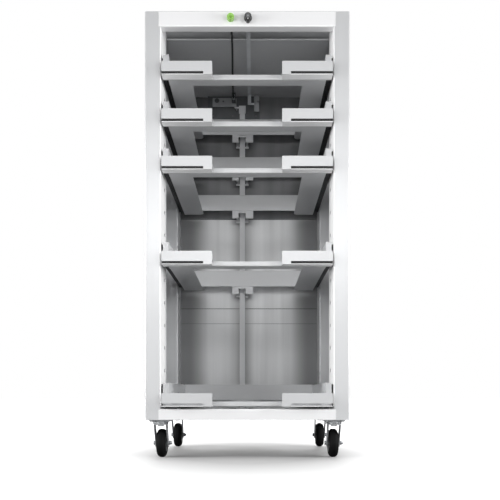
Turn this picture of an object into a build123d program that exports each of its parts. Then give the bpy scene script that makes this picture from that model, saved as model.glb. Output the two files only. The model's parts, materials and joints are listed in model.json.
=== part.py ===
from build123d import *
import os
from math import radians, tan

os.makedirs("parts", exist_ok=True)

# Body
width = 522.0
depth = 491.0
body_height = 1041.5
caster_height = 100.0
panel_sheet = 1.2
frame_sheet = 1.5
bend_radius = 2.2
seat_gap = 0.3
overcut = 1.0
corner_radius = 3.0

# Front frame
stile_width = 40.3
rail_seam = 5.3
side_return = 20.0
top_rail_height = 38.7
top_rail_depth = 28.0
top_rail_lip = 7.0
bottom_rail_height = 28.0
bottom_rail_depth = 18.0

# Uprights
front_upright_depth = 114.0
upright_flange = 18.0
rear_upright_depth = 89.0
slot_length = 15.0
slot_height = 9.5
slot_corner = 2.0
slot_pitch = 60.0
slot_margin = 40.0
front_slot_depth = 81.0
rear_slot_inset = 49.0

# Back and ceiling
back_recess = 11.0
lower_seam = 343.0
upper_seam = 634.0
seam_lap = 10.0
rear_flange = 16.0
ceiling_drop = 10.3
ceiling_start = 120.0
ceiling_hem = 3.0
hem_radius = 1.0

# Drawers: one at the bottom, the others by slots below the topmost, from the lowest up
steps_below_top = [8, 4, 2, 0]
lowest_drawer = 36.0
tray_sheet = 1.5
slide_space = 17.7
tray_wall_height = 60.0
tray_start = 8.0
tray_bar_gap = 30.0
tray_flange = 60.0
tray_flange_corner = 14.0
ear_width = 13.0
rear_wall_inset = 5.0
rear_wall_bottom = 12.0
rear_wall_top = 61.0

# Drawer front
strip_depth = 16.0
strip_height = 11.0
front_gap = 3.7
crossbar_rear = 51.0
grip_reach = 14.0
grip_inner = 88.5
grip_bottom = 6.6
grip_top = 32.4
grip_tab = 22.5
grip_bend = 2.0

# Slides
slide_sheet = 1.2
slide_height = 45.0
slide_start = 20.0
slide_tail = 8.0
slide_centre = 33.0
slide_overlap = 8.4
hook_height = 7.0
hook_length = 12.0
hook_reach = 5.0

# Lock bar and catches
bar_x = -21.0
bar_width = 17.0
bar_thickness = 8.0
bar_back_gap = 12.0
bar_bottom = 12.0
bar_drop = 35.0
head_width = 22.0
head_height = 23.0
lug_reach = 14.0
lug_height = 4.0
lug_depth = 3.6
finger_width = 40.0
finger_depth = 6.0
finger_height = 4.0
finger_clearance = 1.0
catch_x = -19.0
catch_width = 66.0
catch_drop = 12.0
catch_notch = 22.0
catch_notch_top = 5.0
catch_leg = 4.0
catch_lap = 6.0
guide_height = 12.0
guide_gap = 0.4
guide_ear = 12.0
lower_guide_rise = 16.0
upper_guide_rise = 28.0

# Release mechanism
plate_left = -133.0
plate_right = 35.0
plate_height = 72.0
plate_back_gap = 8.0
plate_sheet = 2.0
plate_hole_rise = 9.0
plate_hole_left = 18.0
plate_hole_middle = 31.0
plate_hole_right = 12.0
lever_left = -117.0
lever_right = -40.0
lever_height = 28.0
lever_drop = 9.0
lever_gap = 8.0
lever_sheet = 2.5
pivot_x = -102.7
pivot_drop = 19.0
lever_hole_offset = 20.3
pivot_diameter = 8.0
lever_pin_diameter = 5.0
lever_arm_width = 7.0
lever_hole = 6.0
running_clearance = 0.1

# Button
button_x = -42.2
button_drop = 18.8
button_diameter = 18.0
button_reach = 12.0
button_inside = 24.0
button_travel = 6.0
button_dish = 2.0
button_edge = 1.2
sleeve_wall = 3.0
sleeve_length = 36.0

# Release cable
cable_diameter = 5.5
clamp_x = -48.5
clamp_drop = 21.0
clamp_width = 12.0
clamp_length = 16.0
cable_steps = 7

# Key lock
lock_x = 2.0
lock_drop = 18.2
bezel_diameter = 20.0
bezel_height = 3.0
barrel_diameter = 17.0
barrel_length = 30.0
shaft_diameter = 8.0
knob_reach = 14.0
knob_diameter = 17.0
knob_lobe_width = 10.0
knob_lobe_drop = 9.5
knob_edge = 1.0
rod_width = 11.0
rod_sheet = 2.0
rod_bar_gap = 15.0
rod_leg = 32.0
rod_foot = 10.0

# Casters
caster_inset = 35.0
front_caster_depth = 45.0
rear_caster_inset = 66.0
caster_trail = 25.0
wheel_diameter = 75.0
wheel_width = 25.0
tread_radius = 11.0
hub_diameter = 50.0
hub_width = 21.0
axle_diameter = 8.0
axle_overhang = 9.0
nut_width = 13.0
nut_height = 5.0
plate_size = 58.0
plate_thickness = 2.5
plate_corner = 6.0
bolt_spacing = 42.0
bolt_diameter = 6.0
bolt_head = 10.0
bolt_head_height = 3.0
race_diameter = 40.0
race_height = 6.0
crown_gap = 2.5
crown_thickness = 3.0
crown_width = 38.0
leg_thickness = 2.5
leg_gap = 2.0
leg_end_radius = 11.0
kingpin_diameter = 10.0
kingpin_head = 16.0
kingpin_head_height = 3.0

# Positions that follow from the sizes above
half = width / 2
base = caster_height
top = base + body_height
front = -(depth - knob_reach) / 2
rear = front + depth
opening = half - stile_width
seam = opening + rail_seam
upright_bottom = base + panel_sheet
upright_top = top - panel_sheet
rail_underside = base + body_height - top_rail_height
ceiling = top - panel_sheet - ceiling_drop
first_slot = base + lowest_drawer + slide_centre
slot_count = int((rail_underside - slot_margin - first_slot) / slot_pitch) + 1
slot_levels = [first_slot + step * slot_pitch for step in range(slot_count)]
drawer_steps = [0] + [slot_count - 1 - steps for steps in steps_below_top]
drawer_levels = [base + lowest_drawer + step * slot_pitch for step in drawer_steps]
tray_half_width = opening - slide_space
back = rear - back_recess
bar_y1 = back - bar_back_gap
bar_y0 = bar_y1 - bar_thickness
tray_end = bar_y0 - tray_bar_gap
bar_top = ceiling - bar_drop
plate_y = back - plate_back_gap
lever_y = plate_y - lever_gap
lever_top = ceiling - lever_drop
lever_bottom = lever_top - lever_height
pivot_z = ceiling - pivot_drop
lock_z = top - lock_drop
button_z = top - button_drop


def block(x0, x1, y0, y1, z0, z1, mode=Mode.ADD):
    """Add or cut a box between two corners, given in millimetres."""
    with Locations(((x0 + x1) / 2, (y0 + y1) / 2, (z0 + z1) / 2)):
        Box(abs(x1 - x0), abs(y1 - y0), abs(z1 - z0), mode=mode)


def save(builder, name):
    """Label a finished piece and write its file."""
    builder.part.label = name
    export_step(builder.part, f"parts/{name}.step")


# Outer sheets of the body, lapped between a flat lid and a flat floor
with BuildPart() as top_panel:
    block(-half, half, front, rear, upright_top, top)
    fillet(top_panel.edges().filter_by(Axis.Z), radius=corner_radius)
save(top_panel, "top_panel")

with BuildPart() as floor_panel:
    block(-half, half, front, rear, base, upright_bottom)
    fillet(floor_panel.edges().filter_by(Axis.Z), radius=corner_radius)
save(floor_panel, "floor_panel")


def side_panel(side, name):
    """Flat side with a flange folded in along its rear edge."""
    centre = side * (half - panel_sheet / 2)
    start = front + side_return + seat_gap
    end = rear - panel_sheet / 2
    with BuildPart() as panel:
        with BuildSketch(Plane.XY.offset(upright_bottom)):
            with BuildLine():
                FilletPolyline(
                    (centre, start), (centre, end), (side * (half - rear_flange), end), radius=bend_radius
                )
            trace(line_width=panel_sheet)
        extrude(amount=upright_top - upright_bottom)
    save(panel, name)


side_panel(-1, "side_panel_left")
side_panel(1, "side_panel_right")


def back_panel(low, high, behind, name):
    """Flat sheet across the back, behind its neighbours where the edges lap."""
    near = back + (panel_sheet if behind else 0)
    reach = half - panel_sheet - bend_radius
    with BuildPart() as panel:
        block(-reach, reach, near, near + panel_sheet, low, high)
    save(panel, name)


back_panel(upright_bottom, base + lower_seam, False, "back_panel_lower")
back_panel(base + lower_seam - seam_lap, base + upper_seam + seam_lap, True, "back_panel_middle")
back_panel(base + upper_seam, upright_top, False, "back_panel_upper")

# Ceiling sheet, open in front, with a small hem turned up along its front edge
with BuildPart() as ceiling_liner:
    liner_start = front + ceiling_start
    liner_middle = ceiling + panel_sheet / 2
    with BuildSketch(Plane.YZ.offset(-opening + seat_gap)):
        with BuildLine():
            FilletPolyline(
                (liner_start, liner_middle + ceiling_hem), (liner_start, liner_middle), (back, liner_middle),
                radius=hem_radius,
            )
        trace(line_width=panel_sheet)
    extrude(amount=2 * (opening - seat_gap))
save(ceiling_liner, "ceiling_liner")


# Front frame
def front_upright(side, name):
    """Folded stile with a slotted web that runs back into the body."""
    outer = side * (half - frame_sheet / 2)
    inner = side * (opening + frame_sheet / 2)
    face = front + frame_sheet / 2
    web_end = front + front_upright_depth - frame_sheet / 2
    rail_high = base + bottom_rail_height
    with BuildPart() as upright:
        with BuildSketch(Plane.XY.offset(upright_bottom)):
            with BuildLine():
                FilletPolyline(
                    (outer, front + side_return), (outer, face), (inner, face),
                    (inner, web_end), (inner + side * upright_flange, web_end),
                    radius=bend_radius,
                )
            trace(line_width=frame_sheet)
        extrude(amount=upright_top - upright_bottom)
        for low, high in ((upright_bottom, rail_high), (rail_underside, upright_top)):
            block(side * (opening - overcut), side * seam, front - overcut, front + frame_sheet + bend_radius,
                  low, high, mode=Mode.SUBTRACT)
        with BuildSketch(Plane.YZ.offset(inner - side * frame_sheet)):
            with Locations(*[(front + front_slot_depth, height) for height in slot_levels]):
                RectangleRounded(slot_length, slot_height, slot_corner)
        extrude(amount=side * frame_sheet * 2, mode=Mode.SUBTRACT)
    save(upright, name)


front_upright(-1, "front_upright_left")
front_upright(1, "front_upright_right")


def rear_upright(side, name):
    """Slotted channel at the back of the body, with its front web across to the side."""
    inner = side * (opening + frame_sheet / 2)
    web = back - rear_upright_depth + frame_sheet / 2
    end = back - frame_sheet / 2
    with BuildPart() as upright:
        with BuildSketch(Plane.XY.offset(upright_bottom)):
            with BuildLine():
                FilletPolyline(
                    (side * (half - panel_sheet), web), (inner, web),
                    (inner, end), (inner + side * upright_flange, end),
                    radius=bend_radius,
                )
            trace(line_width=frame_sheet)
        extrude(amount=upright_top - upright_bottom)
        with BuildSketch(Plane.YZ.offset(inner - side * frame_sheet)):
            with Locations(*[(back - rear_slot_inset, height) for height in slot_levels]):
                RectangleRounded(slot_length, slot_height, slot_corner)
        extrude(amount=side * frame_sheet * 2, mode=Mode.SUBTRACT)
    save(upright, name)


rear_upright(-1, "rear_upright_left")
rear_upright(1, "rear_upright_right")


def trim_rail(rail_end):
    """Cut a rail's folds back to pass between the uprights, leaving its face full width."""
    for side in (-1, 1):
        block(side * (opening - seat_gap), side * (seam + overcut), front + frame_sheet, front + rail_end + overcut,
              base - overcut, top + overcut, mode=Mode.SUBTRACT)


# Top rail with round holes for the button and the lock barrel
rail_face = front + frame_sheet / 2
with BuildPart() as top_rail:
    rail_back = front + top_rail_depth - frame_sheet / 2
    rail_low = rail_underside + frame_sheet / 2
    with BuildSketch(Plane.YZ.offset(-seam + seat_gap)):
        with BuildLine():
            FilletPolyline(
                (rail_face, upright_top), (rail_face, rail_low),
                (rail_back, rail_low), (rail_back, rail_low + top_rail_lip),
                radius=bend_radius,
            )
        trace(line_width=frame_sheet)
    extrude(amount=2 * (seam - seat_gap))
    trim_rail(top_rail_depth)
    with BuildSketch(Plane.XZ.offset(-front + overcut)):
        with Locations((button_x, button_z)):
            Circle(button_diameter / 2 + running_clearance)
        with Locations((lock_x, lock_z)):
            Circle(barrel_diameter / 2 + running_clearance)
    extrude(amount=-frame_sheet - overcut * 2, mode=Mode.SUBTRACT)
save(top_rail, "top_rail")

# Bottom rail, folded back along its top edge
with BuildPart() as bottom_rail:
    rail_high = base + bottom_rail_height - frame_sheet / 2
    rail_end = front + bottom_rail_depth - frame_sheet / 2
    with BuildSketch(Plane.YZ.offset(-seam)):
        with BuildLine():
            FilletPolyline(
                (rail_face, upright_bottom), (rail_face, rail_high),
                (rail_end, rail_high), (rail_end, upright_bottom),
                radius=bend_radius,
            )
        trace(line_width=frame_sheet)
    extrude(amount=2 * seam)
    trim_rail(bottom_rail_depth)
save(bottom_rail, "bottom_rail")

# Drawer slides: outer member on the uprights, middle member, inner member on the tray
slide_y0 = front + slide_start
slide_y1 = tray_end + slide_tail
outer_face = opening - seat_gap
inner_face = tray_half_width
outer_lip = outer_face - slide_overlap
inner_lip = inner_face + slide_overlap + slide_sheet
middle_web = (outer_face + inner_face) / 2
middle_half = slide_height / 2 - slide_sheet - seat_gap
inner_half = middle_half - slide_sheet - seat_gap

with BuildPart() as slide_outer_members:
    for level in drawer_levels:
        z = level + slide_centre
        for side in (-1, 1):
            block(side * outer_face, side * (outer_face - slide_sheet), slide_y0, slide_y1,
                  z - slide_height / 2, z + slide_height / 2)
            for edge in (-1, 1):
                block(side * outer_face, side * outer_lip, slide_y0, slide_y1,
                      z + edge * slide_height / 2, z + edge * (slide_height / 2 - slide_sheet))
            for hook_y in (front + front_slot_depth, back - rear_slot_inset):
                block(side * (outer_face - slide_sheet), side * (outer_face + hook_reach),
                      hook_y - hook_length / 2, min(hook_y + hook_length / 2, slide_y1),
                      z - slot_height / 2 + seat_gap, z - slot_height / 2 + hook_height)
save(slide_outer_members, "slide_outer_members")


def slide_members(number, level):
    """Middle and inner members of one drawer's pair of slides."""
    z = level + slide_centre
    with BuildPart() as middle:
        for side in (-1, 1):
            block(side * (middle_web - slide_sheet / 2), side * (middle_web + slide_sheet / 2),
                  slide_y0, slide_y1, z - middle_half, z + middle_half)
            for edge in (-1, 1):
                block(side * (inner_face + slide_sheet + seat_gap * 2),
                      side * (outer_face - slide_sheet - seat_gap * 2),
                      slide_y0, slide_y1, z + edge * middle_half, z + edge * (middle_half - slide_sheet))
    save(middle, f"slide_middle_{number}")
    with BuildPart() as inner:
        for side in (-1, 1):
            block(side * inner_face, side * (inner_face + slide_sheet),
                  slide_y0, slide_y1, z - inner_half, z + inner_half)
            for edge in (-1, 1):
                block(side * inner_face, side * (middle_web - slide_sheet / 2 - seat_gap * 2),
                      slide_y0, slide_y1, z + edge * inner_half, z + edge * (inner_half - slide_sheet))
    save(inner, f"slide_inner_{number}")


# Drawers
def tray(number, level):
    """Folded side walls and floor flanges with a rear wall, open in the middle of the floor."""
    y0 = front + tray_start
    y1 = tray_end
    wall_y = tray_end - rear_wall_inset
    wall_centre = tray_half_width - tray_sheet / 2
    wall_inner = tray_half_width - tray_sheet - overcut
    floor_start = front + strip_depth + tray_sheet + grip_bend
    wall_top = level + tray_wall_height
    notch = catch_notch / 2
    with BuildPart() as drawer:
        for side in (-1, 1):
            block(side * tray_half_width, side * (tray_half_width - tray_sheet), y0, y1, level, wall_top)
            block(side * (tray_half_width - tray_sheet), side * (tray_half_width + ear_width),
                  y0, y0 + tray_sheet, level + strip_height + tray_sheet * 2, wall_top - tray_sheet)
            with BuildSketch(Plane.XY.offset(level)):
                with BuildLine():
                    inner_x = side * (tray_half_width - tray_flange)
                    outer_x = side * wall_centre
                    Polyline(
                        (inner_x + side * tray_flange_corner, y1), (outer_x, y1),
                        (outer_x, floor_start), (inner_x, floor_start), (inner_x, y1 - tray_flange_corner),
                    )
                    RadiusArc((inner_x, y1 - tray_flange_corner), (inner_x + side * tray_flange_corner, y1),
                              side * tray_flange_corner)
                make_face()
            extrude(amount=tray_sheet)
            block(side * (tray_half_width + overcut), side * wall_inner, y0 - overcut, floor_start,
                  level - overcut, level + strip_height + seat_gap, mode=Mode.SUBTRACT)
        block(-wall_centre, wall_centre, wall_y, wall_y + tray_sheet,
              level + rear_wall_bottom, level + rear_wall_top)
        catch_y = wall_y + tray_sheet
        catch_low = level - catch_drop
        block(catch_x - catch_width / 2, catch_x + catch_width / 2, catch_y, catch_y + tray_sheet,
              catch_low, level + rear_wall_bottom + catch_lap)
        leg_end = bar_y1 + catch_leg * 2
        leg_top = catch_low + catch_leg * 2
        for side in (-1, 1):
            inner_x = bar_x + side * notch
            outer_x = inner_x + side * catch_leg * 2
            block(inner_x, outer_x, catch_y, leg_end, leg_top - tray_sheet, leg_top)
            block(inner_x, outer_x, leg_end - tray_sheet, leg_end, catch_low, leg_top)
        block(bar_x - notch, bar_x + notch, catch_y, catch_y + tray_sheet,
              catch_low, level + catch_notch_top, mode=Mode.SUBTRACT)
        ear_tips = drawer.edges().filter_by(Axis.Y).filter_by(
            lambda edge: abs(edge.center().X) > tray_half_width + ear_width / 2
            and edge.center().Z > wall_top - ear_width
        )
        fillet(ear_tips, radius=ear_width / 3)
    save(drawer, f"tray_{number}")


def tray_front(number, level):
    """Low strip and crossbar lapped under the floor, with two grip plates in front of it on tabs from its top edge."""
    strip_y = front + strip_depth
    lap = level - tray_sheet / 2
    grip_y = front - grip_reach
    end = opening - front_gap
    with BuildPart() as front_piece:
        with BuildSketch(Plane.YZ.offset(-end)):
            with BuildLine():
                FilletPolyline(
                    (strip_y + tray_sheet / 2, level + strip_height),
                    (strip_y + tray_sheet / 2, lap),
                    (front + crossbar_rear, lap),
                    radius=grip_bend,
                )
            trace(line_width=tray_sheet)
        extrude(amount=2 * end)
        for side in (-1, 1):
            block(side * tray_half_width, side * (end + overcut), strip_y + tray_sheet * 2,
                  front + crossbar_rear + overcut, lap - tray_sheet, level + strip_height, mode=Mode.SUBTRACT)
            block(side * grip_inner, side * end, grip_y, grip_y + tray_sheet,
                  level + grip_bottom, level + grip_top)
            block(side * grip_inner, side * (grip_inner + grip_tab), grip_y, grip_y + tray_sheet,
                  level - tray_sheet, level + grip_bottom)
            block(side * grip_inner, side * (grip_inner + grip_tab), grip_y, strip_y + tray_sheet,
                  level + strip_height - tray_sheet, level + strip_height)
        tips = front_piece.edges().filter_by(Axis.Y).group_by(Axis.Z)[-1]
        fillet(tips, radius=tray_sheet)
    save(front_piece, f"tray_front_{number}")


for number, level in enumerate(drawer_levels, start=1):
    tray(number, level)
    tray_front(number, level)
    slide_members(number, level)

# Lock bar with a finger under each catch and a lug for the lever at its head
with BuildPart() as lock_bar:
    block(bar_x - bar_width / 2, bar_x + bar_width / 2, bar_y0, bar_y1, base + bar_bottom, bar_top)
    block(bar_x - head_width / 2, bar_x + head_width / 2, bar_y0, bar_y1,
          bar_top - head_height, bar_top)
    lug_top = bar_top - lug_height
    block(bar_x - head_width / 2 - lug_reach, bar_x, bar_y0, bar_y0 + lug_depth, lug_top - lug_height, lug_top)
    for level in drawer_levels:
        finger_top = level - catch_drop - finger_clearance
        block(bar_x - finger_width / 2, bar_x + finger_width / 2, bar_y1 - finger_depth, bar_y1,
              finger_top - finger_height, finger_top)
save(lock_bar, "lock_bar")

# Guides on the back sheet that hold the bar, and the stop under its lower end
with BuildPart() as bar_guides:
    cheek_in = bar_width / 2 + guide_gap
    cheek_out = cheek_in + panel_sheet * 2
    for low in (drawer_levels[0] + lower_guide_rise, drawer_levels[2] + upper_guide_rise):
        high = low + guide_height
        for side in (-1, 1):
            block(bar_x + side * cheek_in, bar_x + side * cheek_out, bar_y0 - guide_gap - panel_sheet, back,
                  low, high)
            block(bar_x + side * cheek_in, bar_x + side * (cheek_out + guide_ear), back - panel_sheet, back,
                  low, high)
        block(bar_x - cheek_out, bar_x + cheek_out, bar_y0 - guide_gap - panel_sheet, bar_y0 - guide_gap,
              low, high)
    block(bar_x - cheek_out, bar_x + cheek_out, bar_y0, back,
          base + bar_bottom - panel_sheet * 2, base + bar_bottom)
    block(bar_x - cheek_out, bar_x + cheek_out, back - panel_sheet, back,
          upright_bottom, base + bar_bottom)
save(bar_guides, "bar_guides")

# Plate that carries the release lever, hung from the ceiling sheet
plate_low = ceiling - plate_height
with BuildPart() as release_plate:
    block(plate_left, plate_right, plate_y, plate_y + plate_sheet, plate_low, ceiling)
    block(plate_left, plate_right, plate_y, back, ceiling - plate_sheet, ceiling)
    block(plate_left, plate_right, plate_y, back, plate_low, plate_low + plate_sheet)
    with BuildSketch(Plane.XZ.offset(-plate_y)):
        with Locations(
            (plate_left + plate_hole_left, plate_low + plate_hole_rise),
            (bar_x - plate_hole_middle, plate_low + plate_hole_rise),
            (plate_right - plate_hole_right, plate_low + plate_hole_rise),
        ):
            Circle(lever_hole / 2)
    extrude(amount=-plate_sheet, mode=Mode.SUBTRACT)
    with BuildSketch(Plane.XZ.offset(-plate_y)):
        with Locations((pivot_x, pivot_z)):
            Circle(pivot_diameter / 2)
    extrude(amount=lever_gap + lever_sheet)
save(release_plate, "release_plate")

# Lever that lifts the lock bar when the cable pulls it
with BuildPart() as release_lever:
    block(lever_left, lever_right, lever_y, lever_y + lever_sheet, lever_bottom, lever_top)
    fillet(release_lever.edges().filter_by(Axis.Y), radius=corner_radius)
    pin_x = bar_x - head_width / 2 - lug_reach / 2
    pin_z = lug_top - lug_height - lever_pin_diameter / 2 - seat_gap * 2
    with BuildSketch(Plane.XZ.offset(-lever_y)):
        with BuildLine():
            Polyline(
                (lever_right - lever_arm_width, lever_bottom), (lever_right, lever_bottom),
                (pin_x + lever_pin_diameter / 2, pin_z), (pin_x - lever_pin_diameter / 2, pin_z),
                (lever_right - lever_arm_width * 2, lever_bottom + lever_arm_width),
                (lever_right - lever_arm_width, lever_bottom),
            )
        make_face()
    extrude(amount=-lever_sheet)
    with BuildSketch(Plane.XZ.offset(-bar_y0)):
        with Locations((pin_x, pin_z)):
            Circle(lever_pin_diameter / 2)
    extrude(amount=-(lever_y + lever_sheet - bar_y0))
    with BuildSketch(Plane.XZ.offset(-lever_y)):
        with Locations((pivot_x, pivot_z)):
            Circle(pivot_diameter / 2 + running_clearance / 2)
        with Locations((pivot_x + lever_hole_offset, pivot_z)):
            Circle(lever_hole / 2)
    extrude(amount=-lever_sheet, mode=Mode.SUBTRACT)
save(release_lever, "release_lever")

# Push button with a dished face, sliding in a sleeve behind the rail
button_y0 = front - button_reach
with BuildPart() as release_button:
    with BuildSketch(Plane.XZ.offset(-button_y0)):
        with Locations((button_x, button_z)):
            Circle(button_diameter / 2)
    extrude(amount=-(button_reach + button_inside))
    rim = release_button.edges().filter_by(GeomType.CIRCLE).sort_by(Axis.Y)[0]
    fillet(rim, radius=button_edge)
    dish_radius = (button_diameter / 2 - button_edge * 2) ** 2 / (2 * button_dish) + button_dish / 2
    with Locations((button_x, button_y0 - dish_radius + button_dish, button_z)):
        Sphere(dish_radius, mode=Mode.SUBTRACT)
save(release_button, "release_button")

with BuildPart() as button_sleeve:
    with BuildSketch(Plane.XZ.offset(-front - frame_sheet)):
        with Locations((button_x, button_z)):
            Circle(button_diameter / 2 + sleeve_wall)
    extrude(amount=-(sleeve_length - frame_sheet))
    with BuildSketch(Plane.XZ.offset(-front - frame_sheet)):
        with Locations((button_x, button_z)):
            Circle(button_diameter / 2 + running_clearance)
    extrude(amount=-(button_inside + button_travel + seat_gap - frame_sheet), mode=Mode.SUBTRACT)
    with BuildSketch(Plane.XZ.offset(-front - sleeve_length)):
        with Locations((button_x, button_z)):
            Circle(cable_diameter / 2 + sleeve_wall / 2)
    extrude(amount=-sleeve_wall)
save(button_sleeve, "button_sleeve")

# Clamp that ends the cable on the release plate
clamp_y0 = bar_y0 - clamp_length
cable_z = ceiling - clamp_drop
with BuildPart() as cable_clamp:
    block(clamp_x - clamp_width / 2, clamp_x + clamp_width / 2, clamp_y0, bar_y0,
          cable_z - clamp_width / 2, ceiling)
    fillet(cable_clamp.edges().filter_by(Axis.Y).group_by(Axis.Z)[0], radius=button_edge)
save(cable_clamp, "cable_clamp")


def cable_point(step):
    """Point of the cable's route, straight at both ends and eased across between them."""
    start = Vector(button_x, front + sleeve_length + sleeve_wall, button_z)
    end = Vector(clamp_x, clamp_y0, cable_z)
    share = min(max((step - 1) / (cable_steps - 2), 0), 1)
    eased = 3 * share ** 2 - 2 * share ** 3
    across = start + (end - start) * eased
    return Vector(across.X, start.Y + (end.Y - start.Y) * step / cable_steps, across.Z)


with BuildPart() as release_cable:
    points = [cable_point(step) for step in range(cable_steps + 1)]
    runs = [(b - a).length for a, b in zip(points, points[1:])]
    turns = [(b - a).get_angle(c - b) for a, b, c in zip(points, points[1:], points[2:])]
    radii = []
    for first, second, turn in zip(runs, runs[1:], turns):
        radii.append(0.45 * min(first, second) / tan(radians(turn / 2)))
    print("cable bend radii", [round(radius) for radius in radii])
    with BuildLine() as route:
        FilletPolyline(*points, radius=radii)
    with BuildSketch(Plane(origin=points[0], z_dir=points[1] - points[0])):
        Circle(cable_diameter / 2)
    sweep(path=route.wires()[0])
save(release_cable, "release_cable")

# Key lock: bezel and barrel in the rail, knob with a drop-shaped grip, rod to the back
bezel_y = front - bezel_height
with BuildPart() as lock_housing:
    with BuildSketch(Plane.XZ.offset(-bezel_y)):
        with Locations((lock_x, lock_z)):
            Circle(bezel_diameter / 2)
    extrude(amount=-bezel_height)
    with BuildSketch(Plane.XZ.offset(-front)):
        with Locations((lock_x, lock_z)):
            Circle(barrel_diameter / 2)
    extrude(amount=-barrel_length)
    with BuildSketch(Plane.XZ.offset(-bezel_y)):
        with Locations((lock_x, lock_z)):
            Circle(shaft_diameter / 2 + running_clearance / 2)
    extrude(amount=-barrel_length - bezel_height, mode=Mode.SUBTRACT)
save(lock_housing, "lock_housing")

knob_y = front - knob_reach
with BuildPart() as lock_knob:
    with BuildSketch(Plane.XZ.offset(-knob_y)):
        with Locations((lock_x, lock_z)):
            Circle(knob_diameter / 2)
        with Locations((lock_x, lock_z - knob_lobe_drop)):
            Circle(knob_lobe_width / 2)
        with Locations((lock_x, lock_z - knob_lobe_drop / 2)):
            Rectangle(knob_lobe_width, knob_lobe_drop)
    extrude(amount=-(knob_reach - bezel_height - seat_gap))
    fillet(lock_knob.faces().sort_by(Axis.Y)[0].edges(), radius=knob_edge)
    with BuildSketch(Plane.XZ.offset(-front + bezel_height + seat_gap)):
        with Locations((lock_x, lock_z)):
            Circle(shaft_diameter / 2)
    extrude(amount=-(bezel_height + seat_gap + barrel_length + seat_gap))
save(lock_knob, "lock_knob")

rod_start = front + barrel_length + seat_gap
rod_y = bar_y0 - rod_bar_gap
with BuildPart() as lock_rod:
    with BuildSketch(Plane.YZ.offset(lock_x - rod_width / 2)):
        with BuildLine():
            FilletPolyline(
                (rod_start, lock_z), (rod_y, lock_z), (rod_y, lock_z - rod_leg), radius=bend_radius
            )
        trace(line_width=rod_sheet)
    extrude(amount=rod_width)
    foot_z = lock_z - rod_leg
    block(lock_x - rod_width / 2, lock_x + rod_width / 2 + rod_foot, rod_y - rod_sheet / 2, rod_y + rod_sheet / 2,
          foot_z, foot_z + rod_width / 2)
save(lock_rod, "lock_rod")

# Casters
caster_x = half - caster_inset
caster_places = {
    "front_left": (-caster_x, front + front_caster_depth),
    "front_right": (caster_x, front + front_caster_depth),
    "rear_left": (-caster_x, rear - rear_caster_inset),
    "rear_right": (caster_x, rear - rear_caster_inset),
}
mount_low = base - plate_thickness
race_low = mount_low - race_height
crown_top = race_low - crown_gap + seat_gap
crown_low = crown_top - crown_thickness
axle_z = wheel_diameter / 2

with BuildPart() as caster_plates:
    for x, y in caster_places.values():
        with BuildSketch(Plane.XY.offset(mount_low)):
            with Locations((x, y)):
                RectangleRounded(plate_size, plate_size, plate_corner)
                with GridLocations(bolt_spacing, bolt_spacing, 2, 2):
                    Circle(bolt_diameter / 2 + seat_gap, mode=Mode.SUBTRACT)
        extrude(amount=plate_thickness)
        with BuildSketch(Plane.XY.offset(race_low)):
            with Locations((x, y)):
                Circle(race_diameter / 2)
        extrude(amount=race_height)
        with BuildSketch(Plane.XY.offset(crown_low - seat_gap)):
            with Locations((x, y)):
                Circle(kingpin_diameter / 2)
        extrude(amount=race_low - crown_low + seat_gap)
        with BuildSketch(Plane.XY.offset(crown_low - seat_gap - kingpin_head_height)):
            with Locations((x, y)):
                Circle(kingpin_head / 2)
        extrude(amount=kingpin_head_height)
save(caster_plates, "caster_plates")

with BuildPart() as caster_bolts:
    for x, y in caster_places.values():
        with BuildSketch(Plane.XY.offset(mount_low)):
            with Locations((x, y)):
                with GridLocations(bolt_spacing, bolt_spacing, 2, 2):
                    Circle(bolt_diameter / 2)
        extrude(amount=plate_thickness)
        with BuildSketch(Plane.XY.offset(mount_low - bolt_head_height)):
            with Locations((x, y)):
                with GridLocations(bolt_spacing, bolt_spacing, 2, 2):
                    RegularPolygon(bolt_head / 2, 6)
        extrude(amount=bolt_head_height)
save(caster_bolts, "caster_bolts")


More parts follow.
